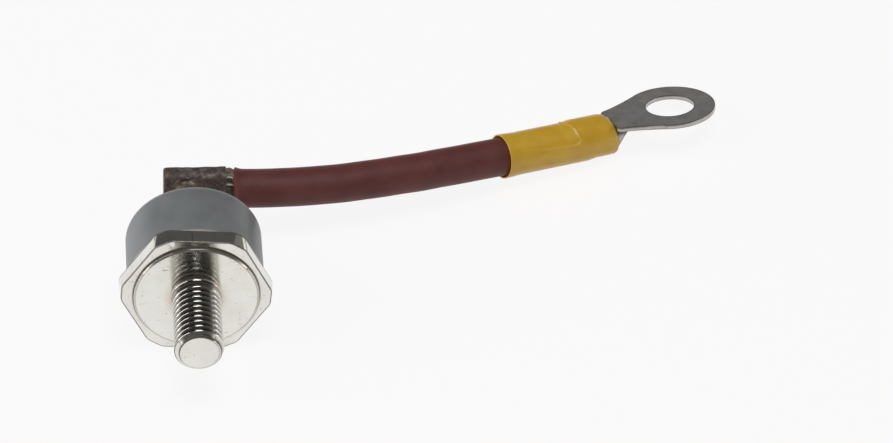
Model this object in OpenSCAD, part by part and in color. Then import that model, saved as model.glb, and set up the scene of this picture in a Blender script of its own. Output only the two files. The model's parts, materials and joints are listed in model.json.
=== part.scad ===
// Stud-mount power rectifier diode with a moulded body and a short crimped lead.
// Millimetres, +Z up, the table is at z = 0. The diode lies on its side with the stud
// towards -Y: the lower corner of the hexagon, the rear rim of the body and the end of
// the lead's sleeve touch the table.

/* [Base] */
// Width of the hexagon across its flats
hex_af = 17.2; // [16.6:0.1:20]
// Thickness of the hexagon
hex_t = 2.1; // [1.5:0.1:4]
// Depth turned off the hexagon's corners
hex_corner_cut = 0.43; // [0.1:0.01:1]
// Further depth turned off the corners at the front face
hex_corner_lead = 0.22; // [0.02:0.02:0.24]
// Turn of the hexagon about the diode's axis, in degrees
hex_turn = 6.6; // [0:0.2:28]
// Diameter of the raised round seat
seat_d = 15.5; // [10:0.1:16.4]
// Height of the raised seat over the hexagon
seat_h = 0.5; // [0.2:0.1:1.5]
// Chamfer round the edge of the seat
seat_chamfer = 0.3; // [0.1:0.05:0.4]
// Outside diameter of the stud's thread
stud_d = 6.1; // [4:0.1:8]
// Length of the stud from the seat to its tip
stud_len = 10.2; // [6:0.1:16]
// Chamfer at the stud's tip
stud_chamfer = 0.65; // [0.2:0.05:1.2]
// Diameter of the pedestal under the chip
pedestal_d = 9.6; // [8.6:0.1:12]
// Height of the pedestal over the hexagon
pedestal_h = 2; // [1.2:0.1:3]
// Depth of the locking groove round the foot of the pedestal
groove_depth = 0.6; // [0.2:0.1:1]
// Height of the locking groove
groove_h = 0.7; // [0.3:0.1:1]

/* [Chip] */
// Side of the square silicon chip
chip_w = 5.6; // [4:0.1:6]
// Thickness of the chip
chip_t = 0.3; // [0.2:0.05:0.6]
// Thickness of each solder layer
solder_t = 0.15; // [0.05:0.05:0.3]
// Diameter of the upper solder layer
upper_solder_d = 4.6; // [3:0.1:5]
// Diameter of the silicone coat round the chip
coat_d = 9; // [8.5:0.1:9.6]
// Height of the silicone coat over the pedestal
coat_h = 1.2; // [0.9:0.1:1.6]

/* [Top post] */
// Diameter of the post
post_d = 4; // [3:0.1:4.6]
// Diameter of the nail head on the chip
head_d = 4.8; // [4.6:0.1:6]
// Thickness of the nail head
head_t = 1; // [0.5:0.1:1.5]
// Reach of the braze fillet along the post and over the ferrule
braze_reach = 1; // [0.5:0.1:1.1]
// Thickness of the braze at the fillet's rims
braze_rim = 0.1; // [0.05:0.05:0.2]

/* [Body] */
// Diameter of the moulded body
body_d = 17; // [15:0.1:17.6]
// Length of the body behind the hexagon
body_len = 8.9; // [7:0.1:14]
// Radius of the body's rear edge
body_edge_r = 0.5; // [0.2:0.1:1.5]

/* [Ferrule] */
// Length of the flattened ferrule
ferrule_len = 8.1; // [6:0.1:12]
// Width of the ferrule across the flat
ferrule_w = 6.2; // [5:0.1:8]
// Thickness of the ferrule
ferrule_t = 2.4; // [2:0.1:3.5]
// Wall of the ferrule
ferrule_wall = 0.5; // [0.3:0.05:0.7]
// Radius of the ferrule's long edges
ferrule_edge_r = 0.8; // [0.4:0.05:1]
// Radius of the edges of the slot in the ferrule
ferrule_slot_r = 0.3; // [0.15:0.05:0.4]
// Gap between the rear of the body and the ferrule
ferrule_gap = 8.5; // [3:0.1:12]
// Offset of the ferrule's middle from the diode's axis, towards the lead
ferrule_offset = 0.4; // [-2:0.1:2]
// Droop of the ferrule towards the lead, in degrees
ferrule_droop = 2.9; // [0:0.1:10]

/* [Lead] */
// Diameter of the lead over its insulation
lead_d = 5; // [4.6:0.1:5.8]
// Diameter of the stranded conductor
conductor_d = 3.1; // [2.4:0.1:3.2]
// Gap between the end of the insulation and the barrel
insulation_gap = 0.7; // [0.3:0.1:2]
// Distance of the strands' end from the end of the barrel
strand_inset = 0.8; // [0:0.1:2]

/* [Ring terminal] */
// Outside diameter of the ring
ring_d = 11.9; // [9:0.1:16]
// Hole for the screw
ring_hole_d = 6.4; // [4.3:0.1:8.4]
// Thickness of the terminal's sheet metal
sheet_t = 0.6; // [0.5:0.05:1]
// Length of the barrel
barrel_len = 6.9; // [5:0.1:8]
// Distance from the end of the barrel to the centre of the ring
ring_reach = 8.7; // [7:0.1:14]
// Rise of the tongue from the barrel's line, in degrees
tongue_rise = 2.4; // [0:0.1:6]
// Depth of the tongue's upper face under the top of the barrel
tongue_sink = 0.2; // [0.05:0.05:0.3]
// Width of the tongue at its root
tongue_root_w = 5.9; // [4.8:0.1:7]
// Chamfer of the tongue's corners at its root
tongue_corner = 0.4; // [0.1:0.05:0.8]
// Angle round the ring where the tongue's sides meet it, in degrees
tongue_touch = 115; // [100:1:125]
// Length of the trough that joins the barrel to the tongue
trough_len = 4.2; // [3:0.1:6]
// Heading of the terminal, in degrees away from +X
terminal_heading = 17.5; // [-30:0.5:60]
// Roll of the terminal about its own line, in degrees
terminal_roll = 16.9; // [-40:0.1:40]

/* [Sleeve] */
// Length of the vinyl sleeve
sleeve_len = 15.7; // [12:0.1:20]
// Wall of the sleeve at its mouth
sleeve_wall = 0.35; // [0.25:0.05:0.8]
// Wall of the sleeve where it is crimped over the barrel
crimp_wall = 0.45; // [0.2:0.05:0.6]
// Length of the barrel that stands out of the sleeve
barrel_proud = 0.3; // [0.1:0.1:1]
// Length of the shoulder where the sleeve steps down to the crimped stretch
shoulder_len = 0.3; // [0.2:0.1:1]
// Taper of the sleeve's radius from its mouth to the shoulder
mouth_taper = 0.1; // [0:0.02:0.2]

/* [Clearances] */
// Clearance of the moulding, the coat and the braze round the pieces inside
mould_clear = 0.05; // [0.02:0.01:0.1]
// Clearance of the conductor in the ferrule, the insulation and the barrel
strand_clear = 0.05; // [0.02:0.01:0.1]
// Clearance of the sleeve over the barrel
barrel_clear = 0.05; // [0.02:0.01:0.1]
// Clearance of the sleeve's mouth over the insulation
mouth_clear = 0.05; // [0.05:0.05:0.3]

/* [Hidden] */
$fn = 96;

// Heights along the diode's axis, from the front face of the hexagon
pedestal_top = hex_t + pedestal_h;
chip_bottom = pedestal_top + solder_t;
chip_top = chip_bottom + chip_t;
head_bottom = chip_top + solder_t;
body_rear = hex_t + body_len;
ferrule_front = body_rear + ferrule_gap;
ferrule_mid = ferrule_front + ferrule_t / 2;
stud_tip = -seat_h - stud_len;

// The table line touches the lower corner of the hexagon and the rounded rim of the body
hex_corner_reach = hex_af / sqrt(3);
hex_turned_r = hex_corner_reach - hex_corner_cut;
hex_facet = 30 - acos(hex_af / 2 / hex_turned_r);
hex_drop = max(hex_turned_r * cos(max(30 - hex_turn - hex_facet, 0)), body_d / 2);
rim_run = body_rear - body_edge_r - hex_t;
rim_rise = hex_drop - (body_d / 2 - body_edge_r);
rest_tilt = atan2(rim_rise, rim_run) - asin(body_edge_r / norm([rim_run, rim_rise]));
axis_height = hex_t * sin(rest_tilt) + hex_drop * cos(rest_tilt);
ferrule_rear = ferrule_front + ferrule_t;
axis_shift = -(ferrule_rear + stud_tip) / 2 * cos(rest_tilt);

// Place on the table of a point of the diode: across, along its axis, up
function on_table(across, along, up) = [
    across,
    axis_shift + along * cos(rest_tilt) + up * sin(rest_tilt),
    axis_height - along * sin(rest_tilt) + up * cos(rest_tilt)
];

// Mouth of the ferrule, where the strands come out
mouth_across = ferrule_offset + ferrule_len / 2 * cos(ferrule_droop);
mouth_up = -ferrule_len / 2 * sin(ferrule_droop);
ferrule_mouth = on_table(mouth_across, ferrule_mid, mouth_up);
ferrule_tail = on_table(ferrule_offset, ferrule_mid, 0);
ferrule_line = (ferrule_mouth - ferrule_tail) / norm(ferrule_mouth - ferrule_tail);

// Route of the lead's middle line from the mouth of the ferrule to the mouth of the sleeve
lead_route = [
    [0, 0, 0], [1, 0, -0.05], [2.5, 0, -0.2], [5, 0.1, -0.45], [7.5, 0.25, -0.65], [10, 0.5, -0.9],
    [12.5, 0.85, -1.15], [15, 1.25, -1.4], [17.5, 1.75, -1.6], [20, 2.3, -1.85], [22.5, 2.95, -2.1],
    [25, 3.6, -2.4], [27.5, 4.35, -2.65], [30, 5.1, -2.95], [32.5, 5.85, -3.2], [35.5, 6.8, -3.55]
];
route = [for (p = lead_route) ferrule_mouth + p];
sleeve_mouth = route[len(route) - 1];

// Terminal: radii, and the slope that lays the end of the sleeve on the table
barrel_bore = conductor_d + 2 * strand_clear;
barrel_r = barrel_bore / 2 + sheet_t;
crimp_r = barrel_r + barrel_clear + crimp_wall;
mouth_r = lead_d / 2 + mouth_clear + sleeve_wall;
sleeve_reach = norm([sleeve_len, crimp_r]);
terminal_slope = asin(sleeve_mouth[2] / sleeve_reach) - atan2(crimp_r, sleeve_len);
terminal_line = [
    cos(terminal_heading) * cos(terminal_slope),
    sin(terminal_heading) * cos(terminal_slope),
    -sin(terminal_slope)
];
barrel_end = sleeve_len + barrel_proud;
barrel_start = barrel_end - barrel_len;
insulation_seat = barrel_start - insulation_gap;
conductor_seat = barrel_end - strand_inset;

// The tongue and its trough start inside the end of the barrel, the trough within its wall
tongue_lap = barrel_proud / 2;
trough_lap = 2 * barrel_proud;
trough_step = sheet_t / 8;
side_inset = 0.05;
side_steps = 8;
root_flare = 0.2;

// Swept lead: sides of the ring, and how far the strands start inside the ferrule
cord_sides = 12;
strand_overlap = 0.6;
slot_w = ferrule_w - 2 * ferrule_wall;
slot_t = ferrule_t - 2 * ferrule_wall;
strand_shrink = 0.15;

// Overshoot of a cut past the face that it opens
cut = 1;

// Colours
nickel = "gainsboro";
solder = "silver";
copper = "peru";

module lay_down() {
    translate([0, axis_shift, axis_height])
        rotate([-90 - rest_tilt, 0, 0])
            children();
}

module at_terminal() {
    translate(sleeve_mouth)
        rotate([0, 0, terminal_heading])
            rotate([0, terminal_slope, 0])
                rotate([-terminal_roll, 0, 0])
                    children();
}

// Ferrule frame: length along X, width along Y, thickness along Z
module at_ferrule() {
    lay_down()
        translate([ferrule_offset, 0, ferrule_mid])
            rotate([0, 0, ferrule_droop])
                children();
}

// Hexagon with its corners turned off, a little further at the front
module turned_hexagon() {
    lead_slope = hex_corner_lead / hex_t;
    intersection() {
        linear_extrude(hex_t)
            polygon([for (k = [0 : 5]) hex_corner_reach * [cos(60 * k), sin(60 * k)]]);
        rotate_extrude()
            polygon([
                [0, -cut],
                [hex_turned_r - lead_slope * (hex_t + cut), -cut],
                [hex_turned_r + lead_slope * cut, hex_t + cut],
                [0, hex_t + cut]
            ]);
    }
}

module rounded_bar(size, edge_r) {
    square([size[0] - 2 * edge_r, size[1]], center = true);
    square([size[0], size[1] - 2 * edge_r], center = true);
    for (x = [-1, 1], y = [-1, 1])
        translate([x * (size[0] / 2 - edge_r), y * (size[1] / 2 - edge_r)])
            circle(edge_r);
}

// Bar along X with rounded long edges, thickness along Z
module flat_bar(length, width, thickness, edge_r) {
    rotate([0, 90, 0])
        linear_extrude(length, center = true)
            rounded_bar([thickness, width], edge_r);
}

// Turned pedestal with its locking groove, grown by a clearance
module pedestal(grow) {
    neck_r = pedestal_d / 2 - groove_depth + grow;
    collar_start = hex_t + groove_h - grow;
    translate([0, 0, hex_t / 2])
        cylinder(r = neck_r, h = hex_t / 2 + groove_h);
    translate([0, 0, collar_start])
        cylinder(r = pedestal_d / 2 + grow, h = pedestal_top - collar_start);
}

module headed_post(grow) {
    translate([0, 0, head_bottom])
        cylinder(d = head_d + 2 * grow, h = head_t + grow);
    translate([0, 0, head_bottom])
        cylinder(d = post_d + 2 * grow, h = ferrule_front - head_bottom);
}

module base() {
    stud_r = stud_d / 2;
    color(nickel) lay_down() {
        rotate_extrude()
            polygon([
                [0, stud_tip],
                [stud_r - stud_chamfer, stud_tip],
                [stud_r, stud_tip + stud_chamfer],
                [stud_r, -seat_h],
                [seat_d / 2 - seat_chamfer, -seat_h],
                [seat_d / 2, seat_chamfer - seat_h],
                [seat_d / 2, hex_t / 2],
                [0, hex_t / 2]
            ]);
        rotate(hex_turn) turned_hexagon();
        pedestal(0);
    }
}

module lower_solder() {
    color(solder) lay_down()
        translate([-chip_w / 2, -chip_w / 2, pedestal_top])
            cube([chip_w, chip_w, solder_t]);
}

module chip() {
    color("dimgray") lay_down()
        translate([-chip_w / 2, -chip_w / 2, chip_bottom])
            cube([chip_w, chip_w, chip_t]);
}

module upper_solder() {
    color(solder) lay_down()
        translate([0, 0, chip_top])
            cylinder(d = upper_solder_d, h = solder_t);
}

module junction_coat() {
    hole_w = chip_w + 2 * mould_clear;
    color("white") lay_down() difference() {
        translate([0, 0, pedestal_top])
            cylinder(d = coat_d, h = coat_h);
        translate([-hole_w / 2, -hole_w / 2, pedestal_top - cut])
            cube([hole_w, hole_w, chip_top - pedestal_top + cut]);
        translate([0, 0, pedestal_top - cut])
            cylinder(d = head_d + 2 * mould_clear, h = coat_h + 2 * cut);
    }
}

module top_post() {
    color(copper) lay_down() headed_post(0);
}

module body() {
    straight_len = body_len - body_edge_r;
    body_r = body_d / 2;
    color("slategray") lay_down() difference() {
        translate([0, 0, hex_t])
            rotate_extrude() {
                square([body_r, straight_len]);
                square([body_r - body_edge_r, body_len]);
                translate([body_r - body_edge_r, straight_len])
                    circle(body_edge_r);
            }
        pedestal(mould_clear);
        translate([0, 0, pedestal_top - mould_clear])
            cylinder(d = coat_d + 2 * mould_clear, h = coat_h + mould_clear);
        headed_post(mould_clear);
    }
}

module braze_fillet() {
    color("darkkhaki") lay_down()
        rotate_extrude()
            translate([post_d / 2 + mould_clear, ferrule_front - braze_reach])
                difference() {
                    square(braze_reach);
                    translate([braze_reach, 0])
                        circle(braze_reach - braze_rim);
                }
}

module ferrule() {
    color("dimgray") at_ferrule() difference() {
        flat_bar(ferrule_len, ferrule_w, ferrule_t, ferrule_edge_r);
        flat_bar(ferrule_len + 2 * cut, slot_w, slot_t, ferrule_slot_r);
    }
}

function unit(v) = v / norm(v);

function line_at(path, i) = unit(path[min(i + 1, len(path) - 1)] - path[max(i - 1, 0)]);

// One ring of a sweep: points round a station of the path, across and up half sizes
function ring_at(path, i, half) =
    let (along = line_at(path, i))
    let (across = unit(cross([0, 0, 1], along)))
    let (up = cross(along, across))
    [for (k = [0 : cord_sides - 1])
        let (a = 360 * (k + 0.5) / cord_sides)
        path[i] + across * half[0] * cos(a) + up * half[1] * sin(a)];

// Side faces between rings from the first point on; flip turns them inwards
function skin(first, rings, flip) = [
    for (i = [0 : rings - 2], k = [0 : cord_sides - 1], upper = [false, true])
        let (a = first + i * cord_sides + k)
        let (b = first + i * cord_sides + (k + 1) % cord_sides)
        let (tri = upper ? [a, b + cord_sides, b] : [a, a + cord_sides, b + cord_sides])
        flip ? [tri[0], tri[2], tri[1]] : tri
];

function cap(first, flip) =
    [[for (k = [0 : cord_sides - 1]) first + (flip ? cord_sides - 1 - k : k)]];

// Flat ring between an outer and an inner ring of points
function annulus(outer, inner, flip) = [
    for (k = [0 : cord_sides - 1], upper = [false, true])
        let (n = (k + 1) % cord_sides)
        let (tri = upper ? [outer + k, inner + n, inner + k] : [outer + k, outer + n, inner + n])
        flip ? [tri[0], tri[2], tri[1]] : tri
];

module solid_sweep(path, halves) {
    count = len(path);
    polyhedron(
        [for (i = [0 : count - 1]) each ring_at(path, i, halves[i])],
        concat(cap(0, false), skin(0, count, false), cap((count - 1) * cord_sides, true))
    );
}

module tube_sweep(path, outer_r, inner_r) {
    count = len(path);
    inner = count * cord_sides;
    far = (count - 1) * cord_sides;
    polyhedron(
        concat(
            [for (i = [0 : count - 1]) each ring_at(path, i, [outer_r, outer_r])],
            [for (i = [0 : count - 1]) each ring_at(path, i, [inner_r, inner_r])]
        ),
        concat(
            skin(0, count, false),
            skin(inner, count, true),
            annulus(0, inner, false),
            annulus(far, inner + far, true)
        )
    );
}

module conductor() {
    strand_r = conductor_d / 2;
    flat_half = [slot_t / 2 - strand_shrink, slot_w / 2 - strand_shrink];
    free = [for (i = [1 : len(route) - 1]) route[i]];
    path = concat(
        [ferrule_mouth - ferrule_line * strand_overlap, ferrule_mouth],
        free,
        [sleeve_mouth + terminal_line * insulation_seat, sleeve_mouth + terminal_line * conductor_seat]
    );
    halves = concat([flat_half, flat_half], [for (i = [2 : len(path) - 1]) [strand_r, strand_r]]);
    color(copper) {
        at_ferrule()
            flat_bar(ferrule_len, slot_w - 2 * strand_clear, slot_t - 2 * strand_clear,
                ferrule_slot_r - strand_clear);
        solid_sweep(path, halves);
    }
}

module lead_insulation() {
    free = [for (i = [1 : len(route) - 1]) route[i]];
    color("sienna")
        tube_sweep(
            concat(free, [sleeve_mouth + terminal_line * insulation_seat]),
            lead_d / 2,
            conductor_d / 2 + strand_clear
        );
}

// Point of a curve with two ends and two handles, from 0 to 1 along it
function on_curve(p, t) =
    pow(1 - t, 3) * p[0] + 3 * t * pow(1 - t, 2) * p[1] + 3 * pow(t, 2) * (1 - t) * p[2] + pow(t, 3) * p[3];

// Ring and tongue outline: the circle of the ring and two sides that sweep out to it from the root
module tongue_outline() {
    root = [-ring_reach - tongue_lap, tongue_root_w / 2];
    start = root + [tongue_corner, 0];
    meet = (ring_d / 2 - side_inset) * [cos(tongue_touch), sin(tongue_touch)];
    pull = (meet[0] - start[0]) / 3;
    bend = [
        start,
        start + pull * [1, root_flare],
        meet - pull * [sin(tongue_touch), -cos(tongue_touch)],
        meet
    ];
    side = [for (i = [0 : side_steps]) on_curve(bend, i / side_steps)];
    circle(d = ring_d);
    polygon(concat(
        [root - [0, tongue_corner]],
        side,
        [[0, 0]],
        [for (i = [side_steps : -1 : 0]) [side[i][0], -side[i][1]]],
        [[root[0], tongue_corner - root[1]]]
    ));
}

// Open trough under the root of the tongue, its lower edge swept up to the tongue
module trough() {
    trough_r = barrel_r - trough_step;
    trough_bore_r = barrel_bore / 2 + trough_step;
    sheet_middle = -tongue_sink - sheet_t / 2;
    difference() {
        translate([-trough_lap, 0, -barrel_r])
            rotate([0, 90, 0])
                cylinder(r = trough_r, h = trough_lap + trough_len);
        translate([-trough_lap - cut, 0, -barrel_r])
            rotate([0, 90, 0])
                cylinder(r = trough_bore_r, h = trough_lap + trough_len + 2 * cut);
        translate([trough_len, 0, sheet_middle - trough_len])
            rotate([90, 0, 0])
                cylinder(r = trough_len, h = 2 * (barrel_r + cut), center = true);
        translate([-trough_lap - cut, -barrel_r - cut, sheet_middle])
            cube([trough_lap + trough_len + 2 * cut, 2 * (barrel_r + cut), barrel_r]);
    }
}

module ring_terminal() {
    color("gray") at_terminal() {
        difference() {
            translate([barrel_start, 0, 0])
                rotate([0, 90, 0])
                    cylinder(r = barrel_r, h = barrel_len);
            translate([barrel_start - cut, 0, 0])
                rotate([0, 90, 0])
                    cylinder(d = barrel_bore, h = barrel_len + 2 * cut);
        }
        translate([barrel_end, 0, barrel_r])
            rotate([0, -tongue_rise, 0]) {
                trough();
                translate([ring_reach, 0, -tongue_sink - sheet_t])
                    difference() {
                        linear_extrude(sheet_t)
                            tongue_outline();
                        translate([0, 0, -cut])
                            cylinder(d = ring_hole_d, h = sheet_t + 2 * cut);
                    }
            }
    }
}

module terminal_sleeve() {
    inner_mouth_r = lead_d / 2 + mouth_clear;
    inner_crimp_r = barrel_r + barrel_clear;
    color("gold") at_terminal()
        rotate([0, 90, 0])
            rotate_extrude()
                polygon([
                    [inner_mouth_r, 0],
                    [mouth_r, 0],
                    [mouth_r - mouth_taper, barrel_start],
                    [crimp_r, barrel_start + shoulder_len],
                    [crimp_r, sleeve_len],
                    [inner_crimp_r, sleeve_len],
                    [inner_crimp_r, insulation_seat + shoulder_len],
                    [inner_mouth_r, insulation_seat]
                ]);
}

base();
lower_solder();
chip();
upper_solder();
junction_coat();
top_post();
body();
braze_fillet();
ferrule();
conductor();
lead_insulation();
ring_terminal();
terminal_sleeve();
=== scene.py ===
import bpy
import json
import math
import random
from mathutils import Matrix, Vector, noise


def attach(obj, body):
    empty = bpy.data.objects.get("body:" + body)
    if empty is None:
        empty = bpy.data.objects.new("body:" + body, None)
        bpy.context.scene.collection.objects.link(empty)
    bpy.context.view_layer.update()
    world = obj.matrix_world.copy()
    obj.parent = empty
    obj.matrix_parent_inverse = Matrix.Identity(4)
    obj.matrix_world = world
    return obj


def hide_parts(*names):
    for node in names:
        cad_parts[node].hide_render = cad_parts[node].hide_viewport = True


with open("model.json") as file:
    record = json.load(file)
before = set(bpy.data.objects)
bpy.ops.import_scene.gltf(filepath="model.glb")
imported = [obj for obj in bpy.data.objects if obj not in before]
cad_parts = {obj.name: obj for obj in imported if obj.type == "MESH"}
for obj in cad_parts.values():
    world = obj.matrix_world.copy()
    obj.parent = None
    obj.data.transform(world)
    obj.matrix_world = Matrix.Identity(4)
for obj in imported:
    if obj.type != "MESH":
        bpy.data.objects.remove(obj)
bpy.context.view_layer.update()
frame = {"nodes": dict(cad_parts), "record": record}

mm = 0.001
sharpEdge = math.radians(60)  # bevels round what is sharper than this
mounts = {m["name"]: m for m in frame["record"]["mounts"]}


# Small helpers: selection, modifiers, curves, placing, nodes

def activate(piece):
    if bpy.context.mode != "OBJECT":
        bpy.ops.object.mode_set(mode="OBJECT")
    bpy.ops.object.select_all(action="DESELECT")
    piece.select_set(True)
    bpy.context.view_layer.objects.active = piece


def editAll(piece):
    activate(piece)
    bpy.ops.object.mode_set(mode="EDIT")
    bpy.ops.mesh.select_all(action="SELECT")


def pick(piece, kind, test):
    # selects edges by middle and direction, or faces by middle and normal, and stays in edit mode
    activate(piece)
    bpy.ops.object.mode_set(mode="EDIT")
    bpy.ops.mesh.select_mode(type=kind)
    bpy.ops.mesh.select_all(action="DESELECT")
    bpy.ops.object.mode_set(mode="OBJECT")
    mesh = piece.data
    for spot in mesh.edges if kind == "EDGE" else mesh.polygons:
        points = [mesh.vertices[i].co for i in spot.vertices]
        middle = sum(points, Vector()) / len(points)
        spot.select = test(middle, points[1] - points[0] if kind == "EDGE" else spot.normal)
    bpy.ops.object.mode_set(mode="EDIT")


def applyModifier(piece, kind, **settings):
    activate(piece)
    modifier = piece.modifiers.new(kind.title(), kind)
    for key, value in settings.items():
        setattr(modifier, key, value)
    bpy.ops.object.modifier_apply(modifier=modifier.name)


def combine(piece, tool, operation):
    applyModifier(piece, "BOOLEAN", operation=operation, object=tool, solver="EXACT")
    bpy.data.objects.remove(tool)


def newMesh(name, points, edges):
    mesh = bpy.data.meshes.new(name)
    mesh.from_pydata([Vector(p) for p in points], edges, [])
    piece = bpy.data.objects.new(name, mesh)
    bpy.context.scene.collection.objects.link(piece)
    return piece


def weld(piece, gap=0.0005):
    # joins what a spin or a boolean left doubled or without area, gap in mm
    editAll(piece)
    bpy.ops.mesh.remove_doubles(threshold=gap)
    bpy.ops.mesh.dissolve_degenerate(threshold=gap)
    bpy.ops.mesh.select_mode(type="FACE")
    bpy.ops.mesh.select_all(action="DESELECT")
    bpy.ops.mesh.select_face_by_sides(number=4, type="GREATER")
    bpy.ops.mesh.quads_convert_to_tris(quad_method="BEAUTY", ngon_method="BEAUTY")
    bpy.ops.mesh.select_all(action="SELECT")
    bpy.ops.mesh.normals_make_consistent(inside=False)
    bpy.ops.object.mode_set(mode="OBJECT")


def turned(name, outline, steps):
    # spins an outline of (radius, height) points, in mm, about Z into a closed solid
    points = [(radius, 0, height) for radius, height in outline]
    piece = newMesh(name, points, [(i, i + 1) for i in range(len(points) - 1)])
    editAll(piece)
    bpy.ops.mesh.spin(steps=steps, angle=2 * math.pi, center=(0, 0, 0), axis=(0, 0, 1))
    weld(piece)
    return piece


def arc(radius, height, size, start, end, steps=6):
    # points of a round edge in a turned outline, angles in degrees
    angles = [math.radians(start + (end - start) * i / steps) for i in range(steps + 1)]
    return [(radius + size * math.cos(a), height + size * math.sin(a)) for a in angles]


def newCurve(name, wide, sides, fine):
    # a round wire or tube, its width in mm
    curve = bpy.data.curves.new(name, "CURVE")
    curve.dimensions = "3D"
    curve.resolution_u = fine
    curve.bevel_depth = wide / 2 * mm
    curve.bevel_resolution = sides // 4 - 1
    return curve


def addSpline(curve, points, material=0):
    spline = curve.splines.new("BEZIER")
    spline.material_index = material
    spline.bezier_points.add(len(points) - 1)
    for knot, place in zip(spline.bezier_points, points):
        knot.co = place
        knot.handle_left_type = knot.handle_right_type = "AUTO"


def curveToMesh(name, curve):
    holder = bpy.data.objects.new(name, curve)
    bpy.context.scene.collection.objects.link(holder)
    activate(holder)
    bpy.ops.object.convert(target="MESH")
    piece = bpy.context.view_layer.objects.active
    piece.name = piece.data.name = name
    return piece


def smoothStep(value):
    value = min(max(value, 0), 1)
    return value * value * (3 - 2 * value)


def smoothOff(piece, smooth=30):
    activate(piece)
    bpy.ops.object.shade_smooth_by_angle(angle=math.radians(smooth))
    applyModifier(piece, "WEIGHTED_NORMAL", weight=100, keep_sharp=True)
    return piece


def setDown(piece, place, smooth=30):
    # from millimetres round its own axis to metres in the shared frame
    piece.data.transform(place @ Matrix.Scale(mm, 4))
    piece.data.update()
    return smoothOff(piece, smooth)


def dress(piece, material, replaced):
    if material not in piece.data.materials[:]:  # the strands bring theirs
        piece.data.materials.clear()
        piece.data.materials.append(material)
    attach(piece, "root")
    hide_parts(*replaced)
    return piece


def linear(code):
    # sRGB hex to the linear colour that a socket takes
    parts = [int(code[i:i + 2], 16) / 255 for i in (1, 3, 5)]
    return tuple(c / 12.92 if c <= 0.04045 else ((c + 0.055) / 1.055) ** 2.4 for c in parts) + (1.0,)


def perMm(size):
    # texture scale for a feature of that size in mm, on Object coordinates in metres
    return 1 / (size * mm)


def fill(tree, node, sockets):
    # links what comes from another node, and sets the rest on the socket itself
    for socket, value in sockets.items():
        if isinstance(value, bpy.types.NodeSocket):
            tree.links.new(value, node.inputs[socket])
        else:
            node.inputs[socket].default_value = value


def addNode(tree, kind, sockets=None, stops=None, **settings):
    node = tree.nodes.new("ShaderNode" + kind)
    for key, value in settings.items():
        setattr(node, key, value)
    fill(tree, node, sockets or {})
    if stops:
        while len(node.color_ramp.elements) < len(stops):
            node.color_ramp.elements.new(0.5)
        for element, (position, colour) in zip(node.color_ramp.elements, stops):
            element.position = position
            element.color = colour
    return node


def newMaterial(name):
    material = bpy.data.materials.new(name)
    material.use_nodes = True
    tree = material.node_tree
    shader = tree.nodes["Principled BSDF"]
    coords = addNode(tree, "TexCoord").outputs["Object"]
    return material, tree, shader, coords


def wearAndPaintedLight(tree, colour, tone, size, most, least, cover, inward=True, samples=8):
    # lays a tone over the colour along the edges, or in the corners if it isn't inward, over so many mm: real
    # wear, and also painted light and shade
    near = addNode(tree, "AmbientOcclusion", {"Distance": size * mm}, samples=samples, inside=inward,
                   only_local=inward)
    share = addNode(tree, "MapRange", {"Value": near.outputs["AO"], "From Min": most, "From Max": least,
                                       "To Min": 0.0, "To Max": cover}).outputs["Result"]
    colour = addNode(tree, "Mix", {0: share, 6: colour, 7: linear(tone)}, data_type="RGBA").outputs[2]
    return colour, share


# Camera at the photograph's angle

photoView = {
    "place": (2.09, -349.55, 345.98),  # mm
    "azimuth": 4.79,
    "elevation": 43.43,
    "focalPx": 3900,
    "widthPx": 893,
    "sensor": 36,
    "nearest": 10,  # mm, nothing is drawn closer than this
}
cameraData = bpy.data.cameras.new("photoCamera")
cameraData.sensor_fit = "HORIZONTAL"
cameraData.sensor_width = photoView["sensor"]
cameraData.lens = photoView["sensor"] * photoView["focalPx"] / photoView["widthPx"]
cameraData.clip_start = photoView["nearest"] * mm
cameraObject = bpy.data.objects.new("photoCamera", cameraData)
cameraObject.location = Vector(photoView["place"]) * mm
cameraObject.rotation_euler = (
    math.radians(90 - photoView["elevation"]), 0, math.radians(-photoView["azimuth"]))
bpy.context.scene.collection.objects.link(cameraObject)
bpy.context.scene.camera = cameraObject
print("camera set at the photograph's angle")


# Places: the diode's axis from its mounts, the ferrule and the lead's route from the axis

diode = {
    "seatHigh": 0.5,
    "hexThick": 2.1,
    "bodyLong": 8.9,
    "ferruleGap": 8.5,
    "ferruleThick": 2.4,
    "ferruleLong": 8.1,
    "ferruleOffset": 0.4,
    "ferruleDroop": 2.9,
}
along = -Vector(mounts["stud"]["axis"]).normalized()  # from the stud towards the body
studMiddle = Vector(mounts["stud"]["pos_m"])
seatMiddle = studMiddle + along * (Vector(mounts["seat"]["pos_m"]) - studMiddle).dot(along)
across = Vector((1, 0, 0))
diodePlace = Matrix((across, along.cross(across), along)).transposed().to_4x4()
diodePlace.translation = seatMiddle + along * diode["seatHigh"] * mm

bodyRear = diode["hexThick"] + diode["bodyLong"]
ferruleFront = bodyRear + diode["ferruleGap"]
ferrulePlace = (
    diodePlace
    @ Matrix.Translation(Vector((diode["ferruleOffset"], 0, ferruleFront + diode["ferruleThick"] / 2)) * mm)
    @ Matrix.Rotation(math.radians(diode["ferruleDroop"]), 4, "Z"))
ferruleMouth = ferrulePlace @ Vector((diode["ferruleLong"] / 2 * mm, 0, 0))
flatWay = ferrulePlace.to_3x3() @ Vector((0, 1, 0))  # the long way of the flat strands

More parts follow.
